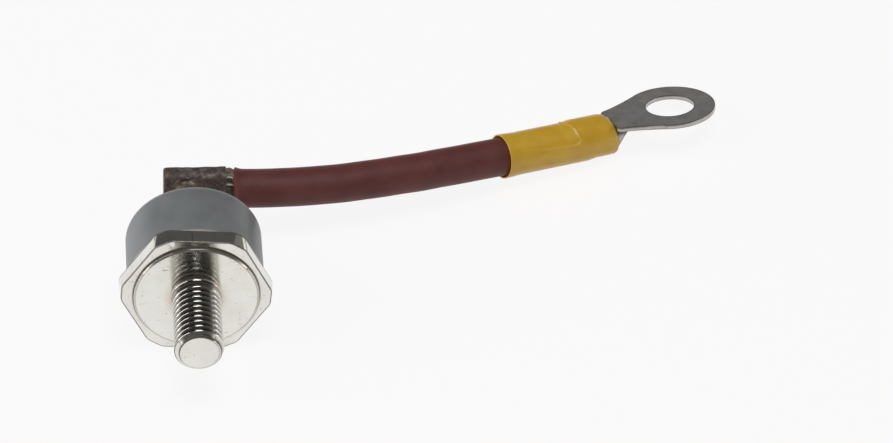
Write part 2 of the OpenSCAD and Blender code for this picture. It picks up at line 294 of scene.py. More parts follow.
# The lead's route, in metres from the mouth of the ferrule
routePoints = [
    (0, 0, 0), (0.001, 0, -0.00005), (0.0025, 0, -0.0002), (0.005, 0.0001, -0.00045),
    (0.0075, 0.00025, -0.00065), (0.010, 0.0005, -0.0009), (0.0125, 0.00085, -0.00115),
    (0.015, 0.00125, -0.0014), (0.0175, 0.00175, -0.0016), (0.020, 0.0023, -0.00185),
    (0.0225, 0.00295, -0.0021), (0.025, 0.0036, -0.0024), (0.0275, 0.00435, -0.00265),
    (0.030, 0.0051, -0.00295), (0.0325, 0.00585, -0.0032), (0.0355, 0.0068, -0.00355),
]
route = [ferruleMouth + Vector(p) for p in routePoints]
sleeveMouth = route[-1]

terminal = {
    "sleeveLong": 15.7,
    "crimpRadius": 2.7,
    "insulationSeat": 8.4,
    "heading": 17.5,
    "roll": 16.9,
}
# The slope lays the end of the sleeve on the table
sleeveReach = math.hypot(terminal["sleeveLong"], terminal["crimpRadius"]) * mm
terminalSlope = (math.asin(sleeveMouth.z / sleeveReach)
                 - math.atan2(terminal["crimpRadius"], terminal["sleeveLong"]))
terminalPlace = (
    Matrix.Translation(sleeveMouth)
    @ Matrix.Rotation(math.radians(terminal["heading"]), 4, "Z")
    @ Matrix.Rotation(terminalSlope, 4, "Y")
    @ Matrix.Rotation(math.radians(-terminal["roll"]), 4, "X"))
insulationEnd = terminalPlace @ Vector((terminal["insulationSeat"] * mm, 0, 0))
print("places worked out, ferrule mouth at", [round(x / mm, 2) for x in ferruleMouth])


# Silicone rubber, extruded: satin skin, a little light through its edges, and a painted glow along the thin cut
# edges
def siliconeRubber():
    material, tree, shader, coords = newMaterial("siliconeRubber")
    cloud = addNode(tree, "TexNoise", {"Vector": coords, "Scale": perMm(4), "Detail": 3})
    tint = addNode(tree, "ValToRGB", {"Fac": cloud.outputs["Fac"]},
                   stops=[(0.3, linear("#613230")), (0.7, linear("#733F3C"))])
    colour, _ = wearAndPaintedLight(tree, tint.outputs["Color"], "#985640", 0.2, 0.9, 0.6, 0.8)  # painted glow, lighter along the thin cut edges
    grain = addNode(tree, "TexNoise", {"Vector": coords, "Scale": perMm(0.12), "Detail": 2})
    bump = addNode(tree, "Bump", {"Height": grain.outputs["Fac"], "Strength": 0.08, "Distance": 0.02 * mm})
    fill(tree, shader, {
        "Base Color": colour, "Normal": bump.outputs["Normal"], "Roughness": 0.56, "IOR": 1.41,
        "Sheen Weight": 0.2, "Sheen Roughness": 0.4, "Sheen Tint": linear("#FFD8CC"),
        "Subsurface Weight": 0.25, "Subsurface Radius": (1.0, 0.35, 0.25), "Subsurface Scale": 0.6 * mm})
    return material


# The lead: a swept tube with a knife-cut, slightly flared end at the ferrule
lead = {
    "wide": 5.0,
    "bore": 3.2,
    "sides": 48,
    "fine": 6,  # curve steps between two points of the route
    "lip": 0.28,
    "lipLong": 1.2,
    "lipEven": 0.7,  # shares of the lip that are even and that wave
    "lipWave": 0.6,
    "waveScale": 2.3,
    "ragged": 0.22,
    "slant": 0.75,
    "boreFlare": 0.36,  # the bore opens to the flat strands
    "boreLong": 5.0,
    "boreShare": 0.85,  # points within this share of the radius are the bore's
    "smooth": 40,
}


def makeLead():
    curve = newCurve("lead", lead["wide"], lead["sides"], lead["fine"])
    halfway = terminalPlace @ Vector((terminal["insulationSeat"] / 2 * mm, 0, 0))
    addSpline(curve, route[1:] + [halfway, insulationEnd])
    bare = curve.copy()
    bare.bevel_depth = 0
    line = bpy.data.objects.new("leadLine", bare)
    path = [v.co.copy() for v in line.to_mesh().vertices]
    bpy.data.objects.remove(line)
    piece = curveToMesh("lead", curve)
    # the cut end at the ferrule flares and its edge is uneven
    start, out = path[0], (path[1] - path[0]).normalized()
    for vertex in piece.data.vertices:
        reach = (vertex.co - start).dot(out) / mm
        if reach > lead["lipLong"]:
            continue
        spoke = (vertex.co - start - out * reach * mm).normalized()
        share = 1 - max(reach, 0) / lead["lipLong"]
        wave = noise.noise(spoke * lead["waveScale"])
        vertex.co += spoke * lead["lip"] * mm * share ** 2 * (lead["lipEven"] + lead["lipWave"] * wave)
        vertex.co += out * lead["ragged"] * mm * share * wave
        vertex.co += out * lead["slant"] * mm * share * (1 - spoke.z) / 2  # cut askew
    wall = (lead["wide"] - lead["bore"]) / 2
    applyModifier(piece, "SOLIDIFY", thickness=wall * mm, offset=-1.0, use_even_offset=True)
    for vertex in piece.data.vertices:
        reach = (vertex.co - start).dot(out) / mm
        spoke = vertex.co - start - out * reach * mm
        if reach < lead["boreLong"] and spoke.length < lead["wide"] / 2 * mm * lead["boreShare"]:
            share = 1 - max(reach, 0) / lead["boreLong"]
            vertex.co += flatWay * spoke.dot(flatWay) * lead["boreFlare"] * share
    activate(piece)
    bpy.ops.object.shade_smooth_by_angle(angle=math.radians(lead["smooth"]))
    return piece, path


leadPiece, leadPath = makeLead()
dress(leadPiece, siliconeRubber(), ["lead_insulation"])


# Nickel plate on a forged and turned copper base: a pale warm mirror, satin in patches, with marks and specks
def nickelPlate(name, marks):
    material, tree, shader, coords = newMaterial(name)
    patch = addNode(tree, "TexNoise", {"Vector": coords, "Scale": perMm(4), "Detail": 4})
    tint = addNode(tree, "ValToRGB", {"Fac": patch.outputs["Fac"]},
                   stops=[(0.3, linear("#DEDCD5")), (0.7, linear("#E8E7E1"))])
    # forging and trimming marks run along the stud, so they are streaks on the flats and specks on the seat
    drawn = addNode(tree, "Mapping", {"Vector": coords, "Scale": (1, 0.06, 1)})
    streak = addNode(tree, "TexNoise", {"Vector": drawn.outputs["Vector"], "Scale": perMm(0.45), "Detail": 5})
    stain = addNode(tree, "ValToRGB", {"Fac": streak.outputs["Fac"]},
                    stops=[(0.64, (0, 0, 0, 1)), (0.86, (1, 1, 1, 1))])
    # short scratches, where something slid over the plate
    slid = addNode(tree, "Mapping", {"Vector": coords, "Rotation": (0, math.radians(12), 0),
                                     "Scale": (0.1, 0.1, 1)})
    line = addNode(tree, "TexNoise", {"Vector": slid.outputs["Vector"], "Scale": perMm(0.2), "Detail": 2})
    scratch = addNode(tree, "ValToRGB", {"Fac": line.outputs["Fac"]},
                      stops=[(0.69, (0, 0, 0, 1)), (0.76, (0.9, 0.9, 0.9, 1))])
    colour, metal = tint.outputs["Color"], 1.0
    for share, tone in ((stain.outputs["Color"], "#8D8375"), (scratch.outputs["Color"], "#6A5F55")):
        colour = addNode(tree, "Mix", {0: share, 6: colour, 7: linear(tone)}, data_type="RGBA").outputs[2]
    # painted shade lies dark in the corners and the thread's roots, a brown tint spreads over broad hollows,
    # and the plate is worn brown along the edges
    for *mark, left in marks:
        colour, share = wearAndPaintedLight(tree, colour, *mark, samples=12)
        if left < 1:  # thick painted shade and worn edges hide the metal
            metal = addNode(tree, "Mix", {0: share, 2: metal, 3: left}).outputs[0]
    # faces square to the stud were turned and are satin, the rolled thread is bright
    facing = addNode(tree, "VectorMath", {0: addNode(tree, "TexCoord").outputs["Normal"], 1: along},
                     operation="DOT_PRODUCT")
    facing = addNode(tree, "Math", {0: facing.outputs["Value"]}, operation="ABSOLUTE")
    satin = addNode(tree, "MapRange", {"Value": facing.outputs[0], "From Min": 0.93, "From Max": 0.99,
                                       "To Min": 0.06, "To Max": 0.13})
    bump = addNode(tree, "Bump", {"Height": streak.outputs["Fac"], "Strength": 0.1, "Distance": 0.04 * mm})
    fill(tree, shader, {"Base Color": colour, "Metallic": metal, "Roughness": satin.outputs["Result"],
                        "Normal": bump.outputs["Normal"]})
    return material


# The base: a hexagon with a turned seat, pedestal and stud, and a fine thread cut into the stud
base = {
    "hexAcross": 17.2,
    "cornerCut": 0.43,  # turned off the corners, and a little more at the front
    "cornerLead": 0.22,
    "cornerSides": 24,  # one of every four faces lies on a corner
    "cornerOver": 1,  # past both faces of the hexagon
    "hexTurn": 6.6,
    "creaseRound": 0.4,
    "edgeRound": 0.09,
    "flush": 0.01,  # edges this near the front face lie in it
    "seatWide": 15.5,
    "seatChamfer": 0.16,
    "chamferRound": 0.05,
    "studWide": 6.1,
    "studLong": 10.18,
    "tipChamfer": 0.54,
    "tipRound": 0.05,
    "rootFillet": 0.2,
    "neckWide": 8.4,
    "neckLong": 0.7,
    "pedestalWide": 9.6,
    "pedestalHigh": 2.0,
    "pitch": 0.907,  # 28 threads to the inch
    "turns": 12,
    "stepsPerTurn": 144,  # as in the turned core, so that crests come out even
    "fadeSteps": 105,  # the thread runs out before the seat
    "fadeWiden": 0.22,
    "lastThread": 0.6,  # below the seat
    "groove": [(3.16, 0.453), (3.05, 0.445), (3.035, 0.41), (3.0, 0.372), (2.95, 0.335), (2.56, 0.11),
               (2.51, 0.06), (2.50, 0.0)],  # radius, half width: rolled crests are round
    "rolledOver": 0.02,  # past the stud's radius, and short of the seat, for the thread's own finish
    "rolledShort": 0.05,
}


def makeThreadCutter():
    upper = base["groove"]
    loop = [(r, 0, w) for r, w in upper] + [(r, 0, -w) for r, w in reversed(upper[:-1])]
    start = -diode["seatHigh"] - base["lastThread"] - base["turns"] * base["pitch"]
    cutter = newMesh("threadCutter", [(x, y, z + start) for x, y, z in loop],
                     [(i, (i + 1) % len(loop)) for i in range(len(loop))])
    applyModifier(cutter, "SCREW", axis="Z", angle=2 * math.pi, screw_offset=base["pitch"],
                  iterations=base["turns"], steps=base["stepsPerTurn"], render_steps=base["stepsPerTurn"])
    rows = len(cutter.data.vertices) // len(loop)
    for vertex in cutter.data.vertices:
        fade = (vertex.index // len(loop) - (rows - base["fadeSteps"])) / base["fadeSteps"]
        if fade > 0:
            vertex.co.xy *= 1 + base["fadeWiden"] * fade
    editAll(cutter)
    bpy.ops.mesh.fill_holes(sides=0)
    bpy.ops.mesh.select_all(action="SELECT")
    bpy.ops.mesh.normals_make_consistent(inside=False)
    bpy.ops.object.mode_set(mode="OBJECT")
    return cutter


def makeBase():
    thick, over, sides = diode["hexThick"], base["cornerOver"], base["cornerSides"]
    turn = math.radians(base["hexTurn"] + 30)
    activate(leadPiece)
    bpy.ops.mesh.primitive_cylinder_add(
        vertices=6, radius=base["hexAcross"] / math.sqrt(3), depth=thick, location=(0, 0, thick / 2),
        rotation=(0, 0, turn))
    piece = bpy.context.view_layer.objects.active
    bpy.ops.object.transform_apply()
    wide = base["hexAcross"] / math.sqrt(3) - base["cornerCut"]
    lean = base["cornerLead"] / thick
    outline = [(0, -over), (wide - lean * (thick + over), -over), (wide + lean * over, thick + over),
               (0, thick + over)]
    outline = [(radius / math.cos(math.pi / sides), height) for radius, height in outline]
    cone = turned("cornerCone", outline, sides)
    cone.data.transform(Matrix.Rotation(turn + math.pi / sides, 4, "Z"))
    combine(piece, cone, "INTERSECT")
    pick(piece, "EDGE", lambda middle, way: abs(way.z) > thick / 2)  # between the flats
    bpy.ops.mesh.bevel(offset=base["creaseRound"], segments=4, affect="EDGES")
    pick(piece, "EDGE", lambda middle, way: middle.z < base["flush"])  # round the front
    bpy.ops.mesh.bevel(offset=base["edgeRound"], segments=3, affect="EDGES")
    bpy.ops.object.mode_set(mode="OBJECT")

    studR, seatR = base["studWide"] / 2, base["seatWide"] / 2
    neckR, pedestalR = base["neckWide"] / 2, base["pedestalWide"] / 2
    seat, root, rim = -diode["seatHigh"], base["rootFillet"], base["seatChamfer"]
    tip, flat, soft = seat - base["studLong"], studR - base["tipChamfer"], base["tipRound"]
    ease, top = base["chamferRound"], thick + base["pedestalHigh"]
    outline = [(0, tip)] + arc(flat - soft, tip + soft, soft, -90, -45, 4)
    outline += arc(studR - soft, tip + base["tipChamfer"] + soft / 2, soft, -45, 0, 4)
    outline += arc(studR + root, seat - root, root, 180, 90)
    outline += arc(seatR - rim - ease / 2, seat + ease, ease, -90, -45, 3)
    outline += arc(seatR - ease, seat + rim + ease / 2, ease, -45, 0, 3)
    outline += [(seatR, thick / 2), (neckR, thick / 2), (neckR, thick + base["neckLong"])]
    outline += [(pedestalR, thick + base["neckLong"]), (pedestalR, top), (0, top)]
    core = turned("baseCore", outline, base["stepsPerTurn"])
    combine(core, makeThreadCutter(), "DIFFERENCE")
    combine(piece, core, "UNION")
    weld(piece)
    piece.name = piece.data.name = "threadedBase"
    return setDown(piece, diodePlace)


# a brown tint over the broad hollows, within 1.8 mm of other surfaces
broadHollowTint = ("#A68A68", 1.8, 0.92, 0.5, 0.5, False, 1.0)  # tone, mm, from, to, cover, inward, metal left
# painted shade, dark in the corners
paintedCornerShade = ("#3A2D26", 0.3, 0.92, 0.6, 0.8, False, 0.3)
edgeMark = ("#54463C", 0.2, 0.98, 0.84, 0.9, True, 0.3)
# painted shade in the roots of the thread
paintedRootShade = ("#2E211D", 0.8, 0.95, 0.62, 0.92, False, 1.0)
plate = nickelPlate("nickelPlate", [broadHollowTint, paintedCornerShade, edgeMark])
threadedBase = dress(makeBase(), plate, ["base"])
# the rolled thread is not worn at its crests, and painted shade darkens its roots
threadedBase.data.materials.append(nickelPlate("rolledNickel", [paintedRootShade]))
for face in threadedBase.data.polygons:
    spot = diodePlace.inverted() @ face.center / mm
    high = spot.z + diode["seatHigh"] + base["studLong"]  # from the tip
    onStud = math.hypot(spot.x, spot.y) < base["studWide"] / 2 + base["rolledOver"]
    if onStud and base["tipChamfer"] < high < base["studLong"] - base["rolledShort"]:
        face.material_index = 1
print("base turned and threaded, faces:", len(threadedBase.data.polygons))


# Epoxy, transfer moulded: even grey with a satin skin, a little cloudy, with a painted highlight that makes the
# rims paler
def mouldedEpoxy():
    material, tree, shader, coords = newMaterial("mouldedEpoxy")
    cloud = addNode(tree, "TexNoise", {"Vector": coords, "Scale": perMm(3), "Detail": 4})
    tint = addNode(tree, "ValToRGB", {"Fac": cloud.outputs["Fac"]},
                   stops=[(0.3, linear("#777B7D")), (0.7, linear("#84888A"))])
    colour, _ = wearAndPaintedLight(tree, tint.outputs["Color"], "#C6BFB7", 1.0, 0.88, 0.7, 0.8, samples=16)  # painted highlight along the rims
    grain = addNode(tree, "TexNoise", {"Vector": coords, "Scale": perMm(0.15), "Detail": 3})
    bump = addNode(tree, "Bump", {"Height": grain.outputs["Fac"], "Strength": 0.1, "Distance": 0.02 * mm})
    sheen = addNode(tree, "MapRange", {"Value": cloud.outputs["Fac"], "From Min": 0.3, "From Max": 0.7,
                                       "To Min": 0.36, "To Max": 0.46})
    fill(tree, shader, {"Base Color": colour, "Normal": bump.outputs["Normal"],
                        "Roughness": sheen.outputs["Result"], "IOR": 1.55})
    return material


# The moulded body: a round block with softened rims and the hollow that holds the pedestal, chip and head
body = {
    "wide": 17.0,
    "sides": 160,
    "rearRound": 0.5,
    "frontRound": 0.12,
    "hollow": [(2.05, 5.75), (2.45, 5.75), (2.45, 5.3), (4.55, 5.3), (4.55, 4.1), (4.85, 4.1), (4.85, 2.75),
               (4.25, 2.75), (4.25, 2.1)],  # radius, height
}


def makeBody():
    radius, rear, front = body["wide"] / 2, body["rearRound"], body["frontRound"]
    outline = arc(radius - front, diode["hexThick"] + front, front, -90, 0, 4)
    outline += arc(radius - rear, bodyRear - rear, rear, 0, 90, 8)
    outline += [(body["hollow"][0][0], bodyRear)] + body["hollow"]
    return setDown(turned("mouldedBody", outline + outline[:1], body["sides"]), diodePlace)


dress(makeBody(), mouldedEpoxy(), ["body"])
print("body moulded")


# Copper, drawn and headed, dulled by the heat of brazing: warm metal under a brown film
def heatedCopper(name, bright, dark, grain, metallic):
    material, tree, shader, coords = newMaterial(name)
    skin = addNode(tree, "TexNoise", {"Vector": coords, "Scale": perMm(grain), "Detail": 6,
                                      "Roughness": 0.65})
    tint = addNode(tree, "ValToRGB", {"Fac": skin.outputs["Fac"]},
                   stops=[(0.35, linear(dark)), (0.65, linear(bright))])
    dull = addNode(tree, "MapRange", {"Value": skin.outputs["Fac"], "From Min": 0.35, "From Max": 0.65,
                                      "To Min": 0.55, "To Max": 0.35})
    bump = addNode(tree, "Bump", {"Height": skin.outputs["Fac"], "Strength": 0.25, "Distance": 0.05 * mm})
    fill(tree, shader, {"Base Color": tint.outputs["Color"], "Roughness": dull.outputs["Result"],
                        "Normal": bump.outputs["Normal"], "Metallic": metallic})
    return material


# The post: a headed rod from the chip to the ferrule, and the braze metal round its end
post = {
    "wide": 4.0,
    "sides": 96,
    "headWide": 4.8,
    "headStart": 4.7,
    "headThick": 1.0,
    "headRound": 0.15,
}


def makePost():
    radius, head, soft = post["wide"] / 2, post["headWide"] / 2, post["headRound"]
    low, high = post["headStart"], post["headStart"] + post["headThick"]
    outline = [(0, low)] + arc(head - soft, low + soft, soft, -90, 0, 4)
    outline += arc(head - soft, high - soft, soft, 0, 90, 4)
    outline += [(radius, high), (radius, ferruleFront), (0, ferruleFront)]
    return setDown(turned("topPost", outline, post["sides"]), diodePlace)


warmCopper = heatedCopper("heatedCopper", "#A8775C", "#5E4236", 1.6, 0.85)
dress(makePost(), warmCopper, ["top_post"])

braze = {
    "inner": 2.05,
    "sides": 96,
    "reach": 1.05,
    "thinRim": 0.06,
    "sideShare": 0.35,  # more metal ran up than to the sides
    "flatTop": 0.5,
    "lump": 0.24,
    "lumpScales": [(1.0, 1.1), (0.6, 2.6)],  # share, fineness
    "deepest": -0.3,  # share of a lump, inwards
    "margin": 0.01,
}


def makeBraze():
    inner, reach, rim, margin = braze["inner"], braze["reach"], braze["thinRim"], braze["margin"]
    outline = [(inner, ferruleFront - reach - rim)]
    outline += arc(inner + reach, ferruleFront - reach, reach - rim, 180, 90, 10)
    outline += [(inner + reach, ferruleFront), (inner, ferruleFront)]
    piece = turned("brazeFillet", outline + outline[:1], braze["sides"])
    for vertex in piece.data.vertices:
        out = Vector((vertex.co.x, vertex.co.y, 0))
        share = (out.length - inner) / reach
        lump = sum(part * noise.noise(vertex.co * fine) for part, fine in braze["lumpScales"])
        if share > margin:
            rise = abs(vertex.co.y / out.length)
            rise = rise ** 2 - braze["flatTop"] * rise ** 8
            narrow = braze["sideShare"] + (1 - braze["sideShare"]) * rise
            vertex.co -= out.normalized() * reach * share * (1 - narrow)
        if share > 0.5:  # the outer half is uneven sideways too
            vertex.co += out.normalized() * lump * braze["lump"] * share
        if vertex.co.z < ferruleFront - margin:  # lumpy between the post and the thin rim
            between = max(share * (1 - share), 0) * 4
            vertex.co.z -= max(lump, braze["deepest"]) * braze["lump"] * between
    return setDown(piece, diodePlace, smooth=60)


dress(makeBraze(), heatedCopper("brazeAlloy", "#746759", "#4A413A", 0.9, 0.35), ["braze_fillet"])
print("post and braze made")


# Copper tube pressed flat and brazed: scale in mottled dark greys and browns, with a painted highlight in
# patches along the edges
def scaledCopper():
    material, tree, shader, coords = newMaterial("scaledCopper")
    scale = addNode(tree, "TexNoise", {"Vector": coords, "Scale": perMm(1.0), "Detail": 8, "Roughness": 0.75})
    tint = addNode(tree, "ValToRGB", {"Fac": scale.outputs["Fac"]},
                   stops=[(0.34, linear("#37312F")), (0.47, linear("#5A504D")), (0.56, linear("#736660")),
                          (0.68, linear("#A5988F"))])
    fine = addNode(tree, "TexNoise", {"Vector": coords, "Scale": perMm(0.3), "Detail": 4})
    # painted highlight: paler along the rims, broken up by the fine noise
    edge = addNode(tree, "AmbientOcclusion", {"Distance": 0.15 * mm}, samples=8, inside=True, only_local=True)
    worn = addNode(tree, "MapRange", {"Value": edge.outputs["AO"], "From Min": 0.9, "From Max": 0.55,
                                      "To Min": 0.0, "To Max": 1.6})
    worn = addNode(tree, "Math", {0: worn.outputs["Result"], 1: fine.outputs["Fac"]},
                   operation="MULTIPLY", use_clamp=True)
    colour = addNode(tree, "Mix", {0: worn.outputs[0], 6: tint.outputs["Color"], 7: linear("#CFC7BD")},
                     data_type="RGBA")
    bump = addNode(tree, "Bump", {"Height": fine.outputs["Fac"], "Strength": 0.35, "Distance": 0.06 * mm})
    dull = addNode(tree, "MapRange", {"Value": scale.outputs["Fac"], "From Min": 0.3, "From Max": 0.7,
                                      "To Min": 0.75, "To Max": 0.55})
    fill(tree, shader, {"Base Color": colour.outputs[2], "Normal": bump.outputs["Normal"],
                        "Roughness": dull.outputs["Result"], "Metallic": 0.35})
    return material


# The ferrule: a tube pressed flat between dies, a little uneven
ferrule = {
    "wide": 6.2,
    "wall": 0.5,
    "edgeRound": 0.8,
    "lengthCuts": 26,
    "widthCuts": 15,
    "endTrim": 0.16,  # the far end is pressed shorter and its corners round
    "trimPower": 4,
    "endTaper": 0.1,
    "taperPower": 10,
    "dip": 0.12,
    "dent": 0.05,
    "dentScale": 0.8,
    "rippleScale": 1.1,
    "lipRound": 0.1,
}


def makeFerrule():
    long, wide, thick = diode["ferruleLong"], ferrule["wide"], diode["ferruleThick"]
    dent = ferrule["dent"]
    activate(leadPiece)
    bpy.ops.mesh.primitive_cube_add(size=1, scale=(long, wide, thick))
    piece = bpy.context.view_layer.objects.active
    bpy.ops.object.transform_apply()
    pick(piece, "EDGE", lambda middle, way: abs(way.x) > thick / 2)
    bpy.ops.mesh.bevel(offset=ferrule["edgeRound"], segments=7, affect="EDGES")
    pick(piece, "FACE", lambda middle, normal: abs(normal.x) > 0.9)  # both ends are open
    bpy.ops.mesh.delete(type="FACE")
    pick(piece, "EDGE", lambda middle, way: abs(way.x) > thick / 2)
    bpy.ops.mesh.subdivide(number_cuts=ferrule["lengthCuts"])
    pick(piece, "EDGE", lambda middle, way: abs(way.y) > thick / 2)
    bpy.ops.mesh.subdivide(number_cuts=ferrule["widthCuts"])
    bpy.ops.object.mode_set(mode="OBJECT")
    for vertex in piece.data.vertices:
        spot = vertex.co.copy()
        side, end = spot.y / (wide / 2), spot.x / (long / 2)
        vertex.co.x += ferrule["endTrim"] * max(-end, 0) ** ferrule["trimPower"]
        vertex.co.y -= ferrule["dip"] * side * (1 - end ** 2)
        vertex.co.y -= ferrule["endTaper"] * spot.y * max(-end, 0) ** ferrule["taperPower"]
        vertex.co += Vector((0, side, spot.z / thick)) * noise.noise(spot * ferrule["dentScale"]) * dent * 2
        vertex.co.z += noise.noise(spot * ferrule["rippleScale"]) * dent * (1 - abs(side)) / 2
    applyModifier(piece, "SOLIDIFY", thickness=ferrule["wall"], offset=-1.0, use_even_offset=True)
    applyModifier(piece, "BEVEL", width=ferrule["lipRound"], segments=2, limit_method="ANGLE",
                  angle_limit=sharpEdge)
    piece.name = piece.data.name = "pressedFerrule"
    return setDown(piece, ferrulePlace, smooth=40)


dress(makeFerrule(), scaledCopper(), ["ferrule"])
print("ferrule pressed")


# Drawn copper wires, tinned and tarnished; a near-white copy of this material paints the highlight along a few
# wires
def tinnedWire(name, dark, bright, metallic):
    material, tree, shader, coords = newMaterial(name)
    tarnish = addNode(tree, "TexNoise", {"Vector": coords, "Scale": perMm(0.7), "Detail": 3})
    tint = addNode(tree, "ValToRGB", {"Fac": tarnish.outputs["Fac"]},
                   stops=[(0.4, linear(dark)), (0.7, linear(bright))])
    worn = addNode(tree, "MapRange", {"Value": tarnish.outputs["Fac"], "From Min": 0.4, "From Max": 0.62,
                                      "To Min": 0.5, "To Max": 0.35})
    fill(tree, shader, {"Base Color": tint.outputs["Color"], "Roughness": worn.outputs["Result"],
                        "Metallic": metallic})
    return material


# The strands: flat and stacked in the ferrule, then a round bundle to the terminal's barrel
strands = {
    "wide": 0.28,
    "sides": 8,
    "fine": 3,  # curve steps between two points
    "rings": [1, 6, 12, 18, 24, 30],  # wires in each layer of the round bundle
    "rows": 5,
    "rowStep": 0.27,
    "columnStep": 0.266,
    "endInset": 0.8,
    "endTrim": 0.25,  # the cut ends differ by up to this, either way
    "mouthInset": 0.4,
    "barrelStops": [5, 10, 15.2],  # mm along the sleeve, to the end in the barrel
    "gather": 5,  # points of the route over which the flat bundle rounds
    "gatherLead": 0.6,
    "frayed": 0.06,
    "highlightWires": [(1, 0), (5, 0)],  # column and row of the wires given the painted highlight
    "proud": 0.13,  # of the others, past the ferrule
    "bulge": 0.35,  # past the ferrule, mm
    "spread": [1.13, 0.97, 0.84],  # height of the flat bundle from there
    "smooth": 50,
}


def makeStrands():
    random.seed(7)
    bundle = []
    for layer, count in enumerate(strands["rings"]):
        for i in range(count):
            angle = 2 * math.pi * i / count
            bundle.append(Vector((math.cos(angle), math.sin(angle))) * layer * strands["wide"])
    bundle.sort(key=lambda spot: (spot.x, spot.y))
    rows = strands["rows"]
    columns = math.ceil(len(bundle) / rows)
    curve = newCurve("strands", strands["wide"], strands["sides"], strands["fine"])
    curve.use_fill_caps = True
    curve.materials.append(tarnishedWire)
    curve.materials.append(highlightWire)
    half = diode["ferruleLong"] / 2
    held = [-half + strands["endInset"], 0, half - strands["mouthInset"]]
    stops = [route[0] + (route[1] - route[0]).normalized() * strands["bulge"] * mm] + route[1:]
    stops += [terminalPlace @ Vector((x * mm, 0, 0)) for x in strands["barrelStops"]]
    for column in range(columns):
        members = sorted(bundle[column * rows:(column + 1) * rows], key=lambda spot: spot.y)
        for row, spot in enumerate(members):
            bright = (column, row) in strands["highlightWires"]
            flat = Vector(((column - (columns - 1) / 2) * strands["columnStep"],
                           (row - (len(members) - 1) / 2) * strands["rowStep"]))
            fray = Vector((random.uniform(-1, 1), random.uniform(-1, 1))) * strands["frayed"]
            trim = random.uniform(-strands["endTrim"], strands["endTrim"])
            points = [ferrulePlace @ (Vector((x + (trim if x < 0 else 0), flat.x, flat.y)) * mm)
                      for x in held]
            for i, stop in enumerate(stops):
                way = (stops[min(i + 1, len(stops) - 1)] - stops[max(i - 1, 0)]).normalized()
                first = (flatWay - way * flatWay.dot(way)).normalized()
                second = way.cross(first)
                place = flat.lerp(spot, smoothStep((i + strands["gatherLead"]) / strands["gather"]))
                if i < len(strands["spread"]):
                    place = flat * strands["spread"][i] + fray
                    if bright:
                        place.y -= strands["proud"]
                points.append(stop + (first * place.x + second * place.y) * mm)
            addSpline(curve, points, material=int(bright))
    piece = curveToMesh("strands", curve)
    bpy.ops.object.shade_smooth_by_angle(angle=math.radians(strands["smooth"]))
    return piece


tarnishedWire = tinnedWire("tarnishedWire", "#8A7D73", "#B8ABA0", 0.4)
# the near-white copy paints the highlight lines on a few wires
highlightWire = tinnedWire("tinnedWire", "#F0EBE6", "#FAF7F4", 0.15)
strandBundle = dress(makeStrands(), tarnishedWire, ["conductor"])
print("strands laid:", len(strandBundle.data.polygons), "faces")


# Vinyl, dip moulded: warm yellow, waxy, lets light through at its thin edges
def vinyl():
    material, tree, shader, coords = newMaterial("vinyl")
    cloud = addNode(tree, "TexNoise", {"Vector": coords, "Scale": perMm(3), "Detail": 3})
    tint = addNode(tree, "ValToRGB", {"Fac": cloud.outputs["Fac"]},
                   stops=[(0.3, linear("#D9AA2B")), (0.7, linear("#E6BC40"))])
    grain = addNode(tree, "TexNoise", {"Vector": coords, "Scale": perMm(0.25), "Detail": 3})
    bump = addNode(tree, "Bump", {"Height": grain.outputs["Fac"], "Strength": 0.1, "Distance": 0.03 * mm})
    fill(tree, shader, {
        "Base Color": tint.outputs["Color"], "Normal": bump.outputs["Normal"], "Roughness": 0.32, "IOR": 1.53,
        "Subsurface Weight": 0.5, "Subsurface Radius": (1.0, 0.7, 0.2), "Subsurface Scale": 0.6 * mm})
    return material


# The sleeve: a tube with an uneven mouth, pressed smaller over the barrel, with the dies' edge printed in it
sleeve = {
    "wall": 0.35,
    "mouthRadius": 2.9,
    "mouthLong": 3,  # along which the mouth runs into the body
    "mouthCut": 0.33,  # half of the mouth's slant along the sleeve
    "mouthAngle": -60,
    "mouthGap": 0.16,  # the mouth's wall is thinner by this
    "bodyRadius": 2.8,
    "crimpWall": 0.55,
    "wallStart": 6,  # the wall grows inwards from here
    "wallLong": 3,
    "crimpStart": 10.5,
    "crimpSlant": 1.5,  # sooner above, later below
    "crimpLong": 1.6,
    "crimpLift": 0.18,
    "liftAngle": 40,
    "endRound": 0.38,
    "endLong": 1.5,
    "endCut": 0.3,  # half of the end's slant
    "endCutLong": 3,
    "endAngle": -154,
    "endFlat": 0.7,  # share of the rounding that is missing on the longer side
    "rimRound": 0.1,
    "ringStep": 0.13,
    "innerStep": 4,  # rings outside for each one inside
    "sides": 160,
    "dieAngle": 18,  # the dies meet a quarter turn to either side of this angle
    "dieEdge": [(9.2, 16), (9.64, -4), (10.14, -21), (10.43, -35), (10.55, -50), (10.72, -64), (10.5, -71),
                (9.8, -74), (8.3, -72), (7.0, -70.5), (4.8, -67), (2.6, -65)],  # mm along, degrees round
    "dieRidge": 0.13,
    "dieWidth": 0.12,
    "dieStart": 2.4,  # the print rises from here
    "dieLong": 3,
}


def dieRelief(x, angle):
    # height of the dies' print at a place on the sleeve: a fine ridge along their edge
    angle = (angle - sleeve["dieAngle"] + 180) % 360 - 180
    here = Vector((x, math.radians(sleeve["dieAngle"] - abs(angle)) * sleeve["bodyRadius"]))
    corners = [Vector((a, math.radians(d) * sleeve["bodyRadius"])) for a, d in sleeve["dieEdge"]]
    gaps = []
    for one, two in zip(corners, corners[1:]):
        run = two - one
        spot = one + run * min(max((here - one).dot(run) / run.length_squared, 0), 1)
        gaps.append((here - spot).length)
    ridge = sleeve["dieRidge"] * math.exp(-(min(gaps) / sleeve["dieWidth"]) ** 2)
    return ridge * smoothStep((x - sleeve["dieStart"]) / sleeve["dieLong"])


def endTuck(x):
    # how far the end is rounded in
    return sleeve["endRound"] * max(1 - (terminal["sleeveLong"] - x) / sleeve["endLong"], 0) ** 2


def towards(angle, way):
    # 1 on the side at that angle, -1 on the other
    return math.cos(math.radians(angle - way))


